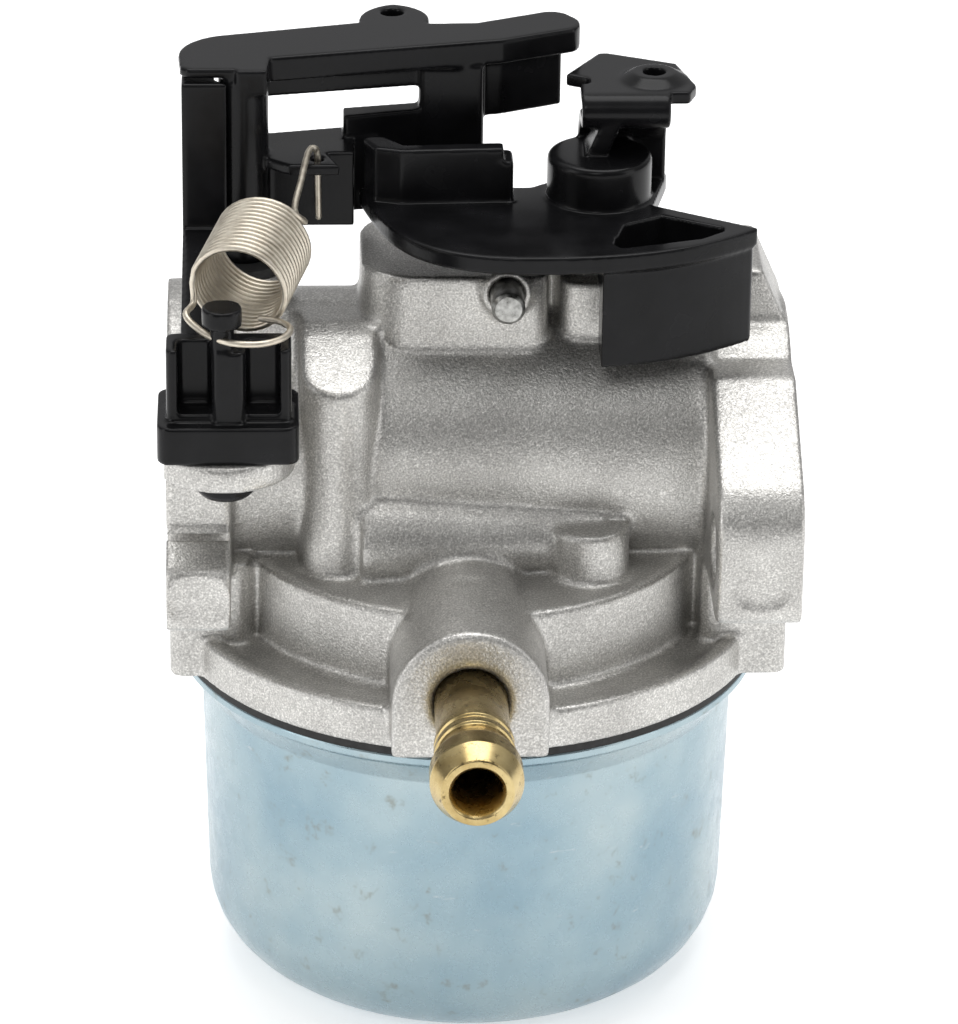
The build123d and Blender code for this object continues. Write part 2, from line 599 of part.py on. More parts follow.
# ---------------------------------------------------------------- throttle
# One black moulding: stem, upper arm, lower arm with the spring tab, and the hanging peg.
arm_z = LEVER_TOP_Z - LEVER_THICK
lower_bottom, lower_top = LOWER_ARM_Z
with BuildPart() as throttle_lever:
    with BuildSketch(Plane.XY.offset(arm_z)):
        with BuildLine():
            Line((6.9, -2.4), (9.9, -2.4))
            Line((9.9, -2.4), (10.2, 1.3))
            Line((10.2, 1.3), (33.1, 6.3))
            Line((33.1, 6.3), (40.4, 9.6))
            ThreePointArc((40.4, 9.6), (41.0, 11.4), (40.2, 13.4))
            ThreePointArc((40.2, 13.4), (39.0, 14.6), (37.0, 14.4))
            Line((37.0, 14.4), (30.6, 11.4))
            Line((30.6, 11.4), (25.8, 11.3))
            ThreePointArc((25.8, 11.3), (24.9, 15.6), (22.4, 16.9))
            ThreePointArc((22.4, 16.9), (20.0, 15.2), (19.1, 11.6))
            Line((19.1, 11.6), (5.6, 8.0))
            ThreePointArc((5.6, 8.0), (2.2, 5.6), (1.3, 1.8))
            Line((1.3, 1.8), (1.5, -1.2))
            Line((1.5, -1.2), (2.2, -1.9))
            Line((2.2, -1.9), (6.9, -1.9))
            Line((6.9, -1.9), (6.9, -2.4))
        make_face()
    extrude(amount=LEVER_THICK)
    # Set-back web under the arm, deeper past the peg.
    with BuildSketch(Plane.XY.offset(arm_z - 2.1)):
        with BuildLine():
            Polyline((8.0, 2.6), (33.0, 7.6), (39.0, 10.4), (38.0, 12.9), (31.0, 10.0),
                     (19.0, 9.6), (8.0, 7.0), close=True)
        make_face()
    extrude(amount=2.1)
    with BuildSketch(Plane.XY.offset(29.9)):
        with BuildLine():
            Polyline((29.6, 6.9), (33.0, 7.6), (39.2, 10.5), (38.6, 12.6), (32.0, 9.9),
                     (29.6, 9.4), close=True)
        make_face()
    extrude(amount=arm_z - 29.9)
    # Pivot stem, from the arm down through the throat.
    with BuildSketch(Plane.XY.offset(-THROTTLE_BORE_R - 3.0)):
        with Locations((THROTTLE_X, 0)):
            Circle(THROTTLE_STEM_R)
    extrude(amount=arm_z + THROTTLE_BORE_R + 4.0)
    with BuildSketch(Plane.XY.offset(THROTTLE_BOSS_TOP + SEAL_THICK)):
        with Locations((THROTTLE_X, 0)):
            Circle(UPPER_STEM_R)
    extrude(amount=arm_z + 1.0 - THROTTLE_BOSS_TOP - SEAL_THICK)
    # Hollow under the arm's left end, which passes over the bracket column.
    with BuildSketch(Plane.XY.offset(arm_z - 0.5)):
        with Locations((THROTTLE_X, 0)):
            Circle(COLUMN_SWEEP_R)
        with Locations((THROTTLE_X + 10.0, 0)):
            Rectangle(20.0, 20.0, mode=Mode.SUBTRACT)
        with Locations((THROTTLE_X, -12.2)):
            Rectangle(20.0, 20.0, mode=Mode.SUBTRACT)
        with Locations((THROTTLE_X, 0)):
            Circle(UPPER_STEM_R, mode=Mode.SUBTRACT)
    extrude(amount=LEVER_THICK + 0.5 - COLUMN_ROOF, mode=Mode.SUBTRACT)
    # Shoulder that rests on the seal, then the lower arm.
    with BuildSketch(Plane.XY.offset(THROTTLE_BOSS_TOP + SEAL_THICK)):
        with BuildLine():
            Polyline((7.6, -1.9), (11.2, -0.2), (9.0, 3.4), (7.0, 1.9), close=True)
        make_face()
    extrude(amount=lower_bottom - THROTTLE_BOSS_TOP - SEAL_THICK)
    with BuildSketch(Plane.XY.offset(lower_bottom)):
        with BuildLine():
            Polyline((7.6, -1.9), (10.2, 0.0), (18.4, 0.0), (18.4, 3.9), (20.8, 4.4), (20.8, 8.0),
                     (9.0, 5.4), (7.0, 1.9), close=True)
        make_face()
    extrude(amount=lower_top - lower_bottom)
    # Thin tab with the spring eye.
    with BuildSketch(Plane.XY.offset(lower_top - 1.1)):
        with BuildLine():
            Polyline((9.6, -1.4), (12.0, -3.5), (17.0, -3.5), (15.4, 0.8), (9.6, 0.8), close=True)
        make_face()
        with Locations(TAB_HOLE):
            Circle(0.62, mode=Mode.SUBTRACT)
    extrude(amount=1.1)
    # Rib that ties the lower arm to the foot of the peg.
    with BuildSketch(Plane.XY.offset(24.9)):
        with BuildLine():
            Polyline((17.4, 3.8), (27.0, 6.2), (27.0, 8.4), (17.4, 6.5), close=True)
        make_face()
    extrude(amount=6.3)
    with BuildSketch(Plane.XY.offset(24.9)):
        with Locations((PEG_X, PEG_Y)):
            RectangleRounded(6.4, 3.4, 0.6)
    extrude(amount=arm_z - 24.9)
    with BuildSketch(Plane.XY.offset(arm_z - 1.0)):
        with Locations(GOVERNOR_HOLE):
            Circle(LINK_HOLE_R)
    extrude(amount=LEVER_THICK + 2.0, mode=Mode.SUBTRACT)
    # Slot for the butterfly.
    slot_plane = Plane(
        origin=(THROTTLE_X, 0, 0),
        x_dir=(math.cos(math.radians(THROTTLE_REST_ANGLE)),
               math.sin(math.radians(THROTTLE_REST_ANGLE)), 0),
        z_dir=(-math.sin(math.radians(THROTTLE_REST_ANGLE)),
               math.cos(math.radians(THROTTLE_REST_ANGLE)), 0),
    )
    with BuildSketch(slot_plane.offset(-PLATE_THICK / 2)):
        Rectangle(8.0, 2 * (THROTTLE_BORE_R - PLATE_GAP))
    extrude(amount=PLATE_THICK, mode=Mode.SUBTRACT)
save(throttle_lever, "throttle_lever")

with BuildPart() as throttle_plate:
    with BuildSketch(slot_plane.offset(-PLATE_THICK / 2)):
        Circle(THROTTLE_BORE_R - PLATE_GAP)
    extrude(amount=PLATE_THICK)
save(throttle_plate, "throttle_plate")

# ---------------------------------------------------------------- choke
# One black moulding: stem, hub, base plate, hollow counterweight, fork wall and link arm.
plate_bottom, plate_top = CHOKE_PLATE_Z
choke_plane = Plane(
    origin=(CHOKE_X, 0, 0),
    x_dir=(math.cos(math.radians(CHOKE_REST_ANGLE)), math.sin(math.radians(CHOKE_REST_ANGLE)), 0),
    z_dir=(-math.sin(math.radians(CHOKE_REST_ANGLE)), math.cos(math.radians(CHOKE_REST_ANGLE)), 0),
)
with BuildPart() as choke_lever:
    with BuildSketch(Plane.XY.offset(plate_bottom)):
        with BuildLine():
            Spline((18.9, 2.2), (21.3, -7.0), (25.0, -13.1), (30.4, -15.9), (36.0, -16.45),
                   (47.3, -14.9), (57.4, -9.0))
            Polyline((57.4, -9.0), (57.5, -8.6), (47.7, -2.6), (49.6, 5.8), (40.4, 5.8),
                     (35.8, 2.2), (18.9, 2.2))
        make_face()
    extrude(amount=plate_top - plate_bottom)
    # Counterweight under the plate's right end, set back below to pass the casting.
    with BuildSketch(Plane.XY.offset(WEIGHT_BOTTOM_Z)):
        with BuildLine():
            ThreePointArc((42.1, -15.6), (50.2, -13.4), (57.0, -9.1))
            Polyline((57.0, -9.1), (57.1, -8.6), (48.9, -8.0), (42.1, -10.0), (42.1, -15.6))
        make_face()
    extrude(amount=plate_top - WEIGHT_BOTTOM_Z)
    with BuildSketch(Plane.XY.offset(WEIGHT_STEP_Z)):
        with BuildLine():
            Polyline((42.1, -12.0), (42.1, -6.9), (48.3, -4.1), (57.1, -8.4), (56.6, -9.3), close=True)
        make_face()
    extrude(amount=plate_top - WEIGHT_STEP_Z)
    with BuildSketch(Plane.XY.offset(WEIGHT_STEP_Z + WEIGHT_WALL)):
        with BuildLine():
            Polyline((43.3, -12.7), (44.6, -7.7), (48.4, -5.5), (54.0, -8.6), (54.2, -9.3),
                     (51.8, -11.3), (44.0, -13.7), close=True)
        make_face()
    extrude(amount=plate_top - WEIGHT_STEP_Z, mode=Mode.SUBTRACT)
    with BuildSketch(Plane.XY.offset(WEIGHT_BOTTOM_Z + WEIGHT_WALL)):
        with BuildLine():
            Polyline((43.3, -12.7), (43.6, -10.8), (48.9, -9.2), (54.0, -9.4), (51.8, -11.3),
                     (44.0, -13.7), close=True)
        make_face()
    extrude(amount=plate_top - WEIGHT_BOTTOM_Z, mode=Mode.SUBTRACT)
    # Pivot hub above the plate, collar below it, and the stem through the throat.
    with BuildSketch(Plane.XY.offset(plate_bottom)):
        with Locations((CHOKE_X, 0)):
            Circle(HUB_R)
    extrude(amount=HUB_TOP_Z - plate_bottom)
    fillet(choke_lever.faces().sort_by(Axis.Z)[-1].edges(), 0.6)
    with BuildSketch(Plane.XY.offset(CHOKE_BOSS_TOP + SEAL_THICK)):
        with Locations((CHOKE_X, 0)):
            Circle(4.2)
    extrude(amount=plate_bottom - CHOKE_BOSS_TOP - SEAL_THICK)
    with BuildSketch(Plane.XY.offset(-CHOKE_BORE_R - 2.2)):
        with Locations((CHOKE_X, 0)):
            Circle(CHOKE_STEM_R)
    extrude(amount=plate_bottom + CHOKE_BORE_R + 2.2)
    # Fork wall that the throttle peg works against, and the block that ends it.
    with BuildSketch(Plane.XY.offset(plate_top)):
        with BuildLine():
            Polyline((19.3, 0.9), (20.4, -1.6), (23.0, -2.4), (33.0, -1.9), (33.0, 0.0),
                     (23.3, -0.7), (21.4, 1.7), (19.6, 1.7), close=True)
        make_face()
    extrude(amount=5.6)
    with BuildSketch(Plane.XY.offset(plate_top)):
        with Locations((32.6, -0.1)):
            RectangleRounded(2.8, 3.7, 0.6)
    extrude(amount=4.2)
    # Link arm: a leg behind the hub that bends forward and doubles back into a flat head.
    head_bottom = LINK_PLATE_TOP - LINK_SHEET
    with BuildSketch(Plane.YZ.offset(40.6)):
        with BuildLine():
            Line((4.2, plate_bottom), (4.2, 28.6))
            ThreePointArc((4.2, 28.6), (3.0, 30.6), (-0.2, 31.6))
            ThreePointArc((-0.2, 31.6), (-2.0, 33.4), (-0.2, LINK_PLATE_TOP))
            Polyline((-0.2, LINK_PLATE_TOP), (2.5, LINK_PLATE_TOP), (2.5, head_bottom),
                     (-0.2, head_bottom))
            ThreePointArc((-0.2, head_bottom), (-0.7, 33.4), (-0.2, 32.9))
            ThreePointArc((-0.2, 32.9), (4.0, 31.6), (5.6, 28.9))
            Polyline((5.6, 28.9), (5.6, plate_bottom), (4.2, plate_bottom))
        make_face()
    extrude(amount=8.7)
    with BuildSketch(Plane.XY.offset(head_bottom)):
        with BuildLine():
            Polyline((39.3, 5.0), (42.8, 11.0), (43.7, 11.15), (50.4, 8.1), (52.0, 1.9),
                     (51.2, -0.2), (41.5, -0.2), (41.4, 3.9), close=True)
        make_face()
    extrude(amount=LINK_SHEET)
    with Locations((LINK_HOLE[0], LINK_HOLE[1], LINK_PLATE_TOP + 0.4)):
        Cone(3.5, 2.1, 0.8)
    with BuildSketch(Plane.XY.offset(head_bottom - 1.0)):
        with Locations(LINK_HOLE):
            Circle(LINK_HOLE_R)
    extrude(amount=LINK_SHEET + 4.0, mode=Mode.SUBTRACT)
    # Slanted rib from the hub up to the bend.
    gusset_plane = Plane(origin=(42.0, 0.0, HUB_TOP_Z - 0.3), x_dir=(0.4, 0.0, 1.0), z_dir=(1, 0, -0.4))
    with BuildSketch(gusset_plane):
        Polygon((0.0, 1.3), (4.7, 1.9), (4.7, -1.5), (0.0, -3.5), align=None)
    extrude(amount=0.95, both=True)
    with BuildSketch(choke_plane.offset(-PLATE_THICK / 2)):
        Rectangle(8.0, 2 * (CHOKE_BORE_R - PLATE_GAP))
    extrude(amount=PLATE_THICK, mode=Mode.SUBTRACT)
save(choke_lever, "choke_lever")

with BuildPart() as choke_plate:
    with BuildSketch(choke_plane.offset(-PLATE_THICK / 2)):
        Circle(CHOKE_BORE_R - PLATE_GAP)
    extrude(amount=PLATE_THICK)
save(choke_plate, "choke_plate")

# ---------------------------------------------------------------- spring bracket and spring
# Black moulding: column, forward bar, ribbed foot, knob, and the snap pin through the ear.
foot_bottom = EAR_TOP_Z
foot_top = KNOB_NECK_Z[0]
with BuildPart() as spring_bracket:
    with BuildSketch(Plane.XY.offset(foot_bottom)):
        with Locations((6.1, -27.3)):
            RectangleRounded(13.4, 9.8, 1.4)
    extrude(amount=3.8)
    with BuildSketch(Plane.XY.offset(foot_bottom + 3.8)):
        with Locations((6.2, -28.4)):
            RectangleRounded(11.8, 4.6, 0.8)
    extrude(amount=foot_top - foot_bottom - 3.8)
    for pocket_x in (3.0, 9.4):
        with BuildSketch(Plane.XY.offset(foot_bottom + 4.6)):
            with Locations((pocket_x, -30.0)):
                RectangleRounded(3.2, 4.4, 0.7)
        extrude(amount=foot_top - foot_bottom, mode=Mode.SUBTRACT)
    with BuildSketch(Plane.XY.offset(foot_bottom + 3.8)):
        with Locations((KNOB[0] + 0.6, KNOB[1])):
            RectangleRounded(2.9, 2.6, 0.6)
    extrude(amount=foot_top - foot_bottom - 3.8)
    with BuildSketch(Plane.XY.offset(foot_top)):
        with Locations(KNOB):
            Circle(1.15)
    extrude(amount=KNOB_NECK_Z[1] - KNOB_NECK_Z[0])
    with BuildSketch(Plane.XY.offset(KNOB_NECK_Z[1])):
        with Locations(KNOB):
            Circle(1.9)
    extrude(amount=1.8)
    # Sloping bar from the foot back to the column beside the throttle stem.
    with BuildSketch(Plane.YZ.offset(COLUMN_X[0])):
        with BuildLine():
            Polyline((COLUMN_BACK_Y, 19.0), (COLUMN_BACK_Y, 22.0), (-2.5, 22.0), (-27.0, 18.4),
                     (-27.0, 15.2), (-2.5, 18.6), close=True)
        make_face()
    extrude(amount=COLUMN_X[1] - COLUMN_X[0])
    with BuildSketch(Plane.XY.offset(19.0)):
        with BuildLine():
            Polyline((COLUMN_X[0], -2.6), (6.1, -2.6), (5.9, -2.3), (COLUMN_X[1], -1.0),
                     (COLUMN_X[1], COLUMN_BACK_Y), (COLUMN_X[0], COLUMN_BACK_Y), close=True)
        make_face()
    extrude(amount=COLUMN_TOP_Z - 19.0)
    # Snap pin below the foot.
    with BuildSketch(Plane.XY.offset(EAR_TOP_Z - EAR_THICK - 0.05)):
        with Locations((EAR_X, EAR_Y)):
            Circle(SNAP_R - 0.03)
    extrude(amount=EAR_THICK + 0.05)
    with BuildSketch(Plane.XY.offset(EAR_TOP_Z - EAR_THICK - 2.8)):
        with Locations((EAR_X, EAR_Y)):
            Circle(SNAP_R + 0.35)
    extrude(amount=2.75)
    chamfer(spring_bracket.faces().sort_by(Axis.Z)[0].edges(), 0.6)
save(spring_bracket, "spring_bracket")

# Extension spring: a loop round the knob, close coils, and a hooked end in the lever's eye.
knob_eye = Vector(KNOB[0], KNOB[1], KNOB_NECK_Z[0] + 1.2)
tab_eye = Vector(TAB_HOLE[0], TAB_HOLE[1], lower_top + 1.3)
coil_start = Vector(7.1, -25.2, 24.9)
coil_axis = Vector(2.6, 9.2, 1.5).normalized()
coil_length = SPRING_TURNS * SPRING_PITCH
near_ring = Plane(origin=coil_start, x_dir=(1, 0, 0), z_dir=coil_axis)
far_ring = Plane(origin=coil_start + coil_axis * coil_length, x_dir=(1, 0, 0), z_dir=coil_axis)
near_rim = near_ring.from_local_coords(Vector(SPRING_COIL_R, 0, 0))
far_rim = far_ring.from_local_coords(Vector(SPRING_COIL_R, 0, 0))
loop_inner = 1.25
with BuildPart() as governor_spring:
    with BuildSketch(near_ring):
        Circle(SPRING_COIL_R + SPRING_WIRE_R)
        Circle(SPRING_COIL_R - SPRING_WIRE_R, mode=Mode.SUBTRACT)
    extrude(amount=coil_length)
    for start, end in ((near_rim, knob_eye + Vector(1.7, 0, 0)), (far_rim, tab_eye)):
        run = end - start
        with BuildSketch(Plane(origin=start, z_dir=run.normalized())):
            Circle(SPRING_WIRE_R)
        extrude(amount=run.length)
    with BuildSketch(Plane(origin=knob_eye, z_dir=(0, 0, 1)).offset(-SPRING_WIRE_R)):
        Circle(loop_inner + 2 * SPRING_WIRE_R)
        Circle(loop_inner, mode=Mode.SUBTRACT)
    extrude(amount=2 * SPRING_WIRE_R)
    with BuildSketch(Plane.XY.offset(lower_top - 6.2)):
        with Locations(TAB_HOLE):
            Circle(SPRING_WIRE_R)
    extrude(amount=7.5)
save(governor_spring, "governor_spring")
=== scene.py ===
import json
import math

import bpy
import numpy as np
from mathutils import Matrix, Vector


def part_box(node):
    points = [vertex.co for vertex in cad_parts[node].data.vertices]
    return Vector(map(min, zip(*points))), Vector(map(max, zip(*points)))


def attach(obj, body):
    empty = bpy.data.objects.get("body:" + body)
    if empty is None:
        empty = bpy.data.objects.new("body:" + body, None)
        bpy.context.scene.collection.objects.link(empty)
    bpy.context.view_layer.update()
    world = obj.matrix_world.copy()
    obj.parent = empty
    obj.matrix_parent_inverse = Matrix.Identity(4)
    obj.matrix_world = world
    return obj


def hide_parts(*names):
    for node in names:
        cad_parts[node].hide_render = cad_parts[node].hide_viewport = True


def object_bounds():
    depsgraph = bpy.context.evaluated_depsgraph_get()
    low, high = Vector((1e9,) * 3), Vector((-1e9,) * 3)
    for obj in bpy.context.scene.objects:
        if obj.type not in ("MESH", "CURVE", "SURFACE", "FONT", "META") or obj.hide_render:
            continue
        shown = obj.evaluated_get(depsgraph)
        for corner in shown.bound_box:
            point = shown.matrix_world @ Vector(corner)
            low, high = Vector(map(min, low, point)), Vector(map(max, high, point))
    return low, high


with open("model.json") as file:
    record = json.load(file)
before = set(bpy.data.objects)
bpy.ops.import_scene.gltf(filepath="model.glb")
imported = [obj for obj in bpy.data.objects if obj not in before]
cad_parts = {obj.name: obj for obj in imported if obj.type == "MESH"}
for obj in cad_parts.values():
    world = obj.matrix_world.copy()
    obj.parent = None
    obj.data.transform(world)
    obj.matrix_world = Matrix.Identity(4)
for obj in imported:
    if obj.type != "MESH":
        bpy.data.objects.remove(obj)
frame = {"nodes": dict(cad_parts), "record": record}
cad_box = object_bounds()

MM = 0.001
MOST_TRIANGLES = 190000
# How far ahead of a wire's end each ring of its cap lies, and how wide it is, in wire radii.
WIRE_END = ((0.6, 0.8), (0.95, 0.3))
NODES = frame["nodes"]
RECORD = frame["record"]


# ---------------------------------------------------------------- mesh helpers
def add_object(name, mesh, material=None):
    """Link a mesh as a new object at the frame's origin."""
    piece = bpy.data.objects.new(name, mesh)
    bpy.context.scene.collection.objects.link(piece)
    if material is not None:
        mesh.materials.clear()
        mesh.materials.append(material)
    return piece


def mesh_from(name, points, faces):
    mesh = bpy.data.meshes.new(name)
    mesh.from_pydata([tuple(p) for p in points], [], faces)
    mesh.validate()
    mesh.update()
    mesh.polygons.foreach_set("use_smooth", [True] * len(mesh.polygons))
    return mesh


def read_points(mesh):
    flat = np.empty(len(mesh.vertices) * 3)
    mesh.vertices.foreach_get("co", flat)
    return flat.reshape(-1, 3)


def write_points(mesh, points):
    mesh.vertices.foreach_set("co", points.ravel())
    mesh.update()


def relax(mesh, rounds, weight=None, step=0.5):
    """Move each point towards the mean of its neighbours, which rounds edges and hollows alike."""
    points = read_points(mesh)
    count = len(points)
    edges = np.empty(len(mesh.edges) * 2, np.int64)
    mesh.edges.foreach_get("vertices", edges)
    first, second = edges.reshape(-1, 2).T
    degree = np.maximum(np.bincount(first, minlength=count) + np.bincount(second, minlength=count), 1)
    share = np.full(count, step) if weight is None else step * weight
    for _ in range(rounds):
        total = np.stack(
            [
                np.bincount(first, points[second, k], count) + np.bincount(second, points[first, k], count)
                for k in range(3)
            ],
            axis=1,
        )
        points += (total / degree[:, None] - points) * share[:, None]
    write_points(mesh, points)


def evaluated(piece):
    """The piece's mesh with its modifiers applied, on the piece itself."""
    graph = bpy.context.evaluated_depsgraph_get()
    mesh = bpy.data.meshes.new_from_object(piece.evaluated_get(graph))
    piece.modifiers.clear()
    old = piece.data
    piece.data = mesh
    bpy.data.meshes.remove(old)
    return piece


def moulded(node, name, voxel, rounds, material, weight=None):
    """A softened copy of a CAD node: even mesh, rounded edges, then thinned if it has many triangles."""
    piece = add_object(name, NODES[node].data.copy())
    remesh = piece.modifiers.new("even", "REMESH")
    remesh.mode = "VOXEL"
    remesh.voxel_size = voxel
    remesh.use_smooth_shade = True
    evaluated(piece)
    mesh = piece.data
    relax(mesh, rounds, None if weight is None else weight(read_points(mesh)))
    triangles = 2 * len(mesh.polygons)
    if triangles > MOST_TRIANGLES:
        thin = piece.modifiers.new("thin", "DECIMATE")
        thin.ratio = MOST_TRIANGLES / triangles
        evaluated(piece)
    mesh = piece.data
    mesh.polygons.foreach_set("use_smooth", [True] * len(mesh.polygons))
    mesh.materials.clear()
    mesh.materials.append(material)
    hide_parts(node)
    return piece


def rounded(corners, segments=8):
    """Corners (r, h, radius) joined by straight runs, with an arc of that radius at each corner."""
    path = []
    for i, (x, y, radius) in enumerate(corners):
        here = Vector((x, y))
        if radius == 0 or i in (0, len(corners) - 1):
            path.append(here)
            continue
        before = (Vector(corners[i - 1][:2]) - here).normalized()
        after = (Vector(corners[i + 1][:2]) - here).normalized()
        half = before.angle(after) / 2
        reach = radius / math.tan(half)
        centre = here + (before + after).normalized() * (radius / math.sin(half))
        start = here + before * reach - centre
        end = here + after * reach - centre
        sweep = start.angle_signed(end)
        for k in range(segments + 1):
            turn = sweep * k / segments
            path.append(centre + Matrix.Rotation(-turn, 2) @ start)
    return path


def lathe(name, path, centre, axis, segments, material, closed=True):
    """Turn a profile of (radius, height) points about an axis through centre."""
    axis = Vector(axis).normalized()
    side = axis.orthogonal().normalized()
    other = axis.cross(side)
    points, faces, rings = [], [], []
    for radius, height in path:
        on_axis = Vector(centre) + axis * height
        if radius < 1e-7:
            rings.append([len(points)] * segments)
            points.append(on_axis)
            continue
        rings.append(list(range(len(points), len(points) + segments)))
        for k in range(segments):
            turn = 2 * math.pi * k / segments
            points.append(on_axis + side * (radius * math.cos(turn)) + other * (radius * math.sin(turn)))
    count = len(rings)
    for i in range(count if closed else count - 1):
        low, high = rings[i], rings[(i + 1) % count]
        for k in range(segments):
            n = (k + 1) % segments
            corners = [low[k], low[n], high[n], high[k]]
            face = list(dict.fromkeys(corners))
            if len(face) > 2:
                faces.append(face)
    return add_object(name, mesh_from(name, points, faces), material)


def wire(name, path, radius, sides, material):
    """A round wire along a list of points, with hemispherical ends."""
    path = [Vector(p) for p in path]
    count = len(path)
    tangents = [(path[min(i + 1, count - 1)] - path[max(i - 1, 0)]).normalized() for i in range(count)]
    side = tangents[0].orthogonal().normalized()
    points, faces, rings = [], [], []
    for i, (here, along) in enumerate(zip(path, tangents)):
        side = (side - along * side.dot(along)).normalized()
        other = along.cross(side)
        caps = [(0.0, 1.0)]
        if i == 0:
            caps = [(-ahead, scale) for ahead, scale in reversed(WIRE_END)] + caps
        if i == count - 1:
            caps = [*caps, *WIRE_END]
        for ahead, scale in caps:
            rings.append(len(points))
            for k in range(sides):
                turn = 2 * math.pi * k / sides
                points.append(
                    here + along * (ahead * radius)
                    + (side * math.cos(turn) + other * math.sin(turn)) * (radius * scale)
                )
    for low, high in zip(rings, rings[1:]):
        for k in range(sides):
            n = (k + 1) % sides
            faces.append([low + k, low + n, high + n, high + k])
    faces.append([rings[0] + k for k in reversed(range(sides))])
    faces.append([rings[-1] + k for k in range(sides)])
    return add_object(name, mesh_from(name, points, faces), material)


# ---------------------------------------------------------------- materials
class Look:
    """A procedural material under construction, with short names for its nodes."""

    def __init__(self, name):
        self.material = bpy.data.materials.new(name)
        self.material.use_nodes = True
        self.tree = self.material.node_tree
        self.surface = self.tree.nodes["Principled BSDF"]
        self.place = self.tree.nodes.new("ShaderNodeTexCoord").outputs["Object"]

    def node(self, kind, **values):
        made = self.tree.nodes.new(kind)
        for key, value in values.items():
            setattr(made, key, value)
        return made

    def join(self, source, target):
        self.tree.links.new(source, target)

    def put(self, **values):
        """Set constant values straight on the shader's sockets."""
        for key, value in values.items():
            self.surface.inputs[key.replace("_", " ")].default_value = value

    def stretched(self, scale, turn=(0, 0, 0)):
        made = self.node("ShaderNodeMapping")
        made.inputs["Scale"].default_value = scale
        made.inputs["Rotation"].default_value = turn
        self.join(self.place, made.inputs["Vector"])
        return made.outputs["Vector"]

    def noise(self, size, detail=3.0, rough=0.55, place=None):
        """Noise whose features are about `size` metres."""
        made = self.node("ShaderNodeTexNoise")
        made.inputs["Scale"].default_value = 1.0 / size
        made.inputs["Detail"].default_value = detail
        made.inputs["Roughness"].default_value = rough
        self.join(place or self.place, made.inputs["Vector"])
        return made.outputs["Fac"]

    def ramp(self, value, *stops):
        """Map a value to colours or greys at the given positions."""
        made = self.node("ShaderNodeValToRGB")
        while len(made.color_ramp.elements) < len(stops):
            made.color_ramp.elements.new(0.5)
        for element, (at, colour) in zip(made.color_ramp.elements, stops):
            element.position = at
            element.color = (*colour, 1) if isinstance(colour, tuple) else (colour, colour, colour, 1)
        self.join(value, made.inputs["Fac"])
        return made.outputs["Color"]

    def span(self, value, low, high, start=0.0, end=1.0):
        made = self.node("ShaderNodeMapRange")
        made.inputs["From Min"].default_value = start
        made.inputs["From Max"].default_value = end
        made.inputs["To Min"].default_value = low
        made.inputs["To Max"].default_value = high
        self.join(value, made.inputs["Value"])
        return made.outputs["Result"]

    def mix(self, factor, first, second, blend="MIX"):
        made = self.node("ShaderNodeMix", data_type="RGBA", blend_type=blend)
        for socket, value in ((made.inputs[0], factor), (made.inputs[6], first), (made.inputs[7], second)):
            if isinstance(value, bpy.types.NodeSocket):
                self.join(value, socket)
            elif isinstance(value, tuple):
                socket.default_value = (*value, 1)
            else:
                socket.default_value = value
        return made.outputs[2]

    def bump(self, height, strength, depth, under=None):
        made = self.node("ShaderNodeBump")
        made.inputs["Strength"].default_value = strength
        made.inputs["Distance"].default_value = depth
        self.join(height, made.inputs["Height"])
        if under is not None:
            self.join(under, made.inputs["Normal"])
        return made.outputs["Normal"]

    def finish(self, colour=None, roughness=None, normal=None):
        for source, name in ((colour, "Base Color"), (roughness, "Roughness"), (normal, "Normal")):
            if source is not None:
                self.join(source, self.surface.inputs[name])
        return self.material


def cast_aluminium():
    look = Look("cast_aluminium")
    look.put(Metallic=0.85)
    grain = look.noise(0.36 * MM, 3.0, 0.6)
    fine = look.noise(0.19 * MM, 2.0)
    broad = look.noise(6.0 * MM, 4.0, 0.6)
    tone = look.ramp(broad, (0.30, (0.47, 0.46, 0.44)), (0.70, (0.60, 0.59, 0.565)))
    speck = look.ramp(fine, (0.30, 0.68), (0.52, 0.97), (0.70, 1.42))
    colour = look.mix(1.0, tone, speck, "MULTIPLY")
    roughness = look.span(grain, 0.30, 0.50, 0.3, 0.7)
    normal = look.bump(broad, 0.25, 0.25 * MM)
    normal = look.bump(grain, 0.60, 0.08 * MM, normal)
    normal = look.bump(fine, 0.60, 0.06 * MM, normal)
    return look.finish(colour, roughness, normal)


def zinc_plate():
    look = Look("zinc_plate")
    look.put(Metallic=0.95)
    broad = look.noise(13.0 * MM, 3.0, 0.5)
    cloud = look.noise(2.6 * MM, 5.0, 0.68)
    scuff = look.noise(1.6 * MM, 4.0, 0.7, look.stretched((0.35, 0.35, 1.6), (0.5, 0.3, 0.2)))
    deep, middle, pale = (0.25, 0.35, 0.405), (0.31, 0.405, 0.445), (0.39, 0.47, 0.49)
    base = look.ramp(broad, (0.30, deep), (0.50, middle), (0.72, pale))
    stained = look.mix(look.ramp(cloud, (0.60, 0.0), (0.72, 0.55)), base, (0.22, 0.215, 0.17))
    colour = look.mix(look.ramp(scuff, (0.66, 0.0), (0.74, 0.5)), stained, (0.50, 0.54, 0.55))
    roughness = look.span(cloud, 0.20, 0.36, 0.3, 0.7)
    drawn = look.noise(0.8 * MM, 3.0, 0.6, look.stretched((0.25, 0.25, 1.0)))
    normal = look.bump(drawn, 0.10, 0.03 * MM)
    normal = look.bump(broad, 0.30, 0.30 * MM, normal)
    return look.finish(colour, roughness, normal)


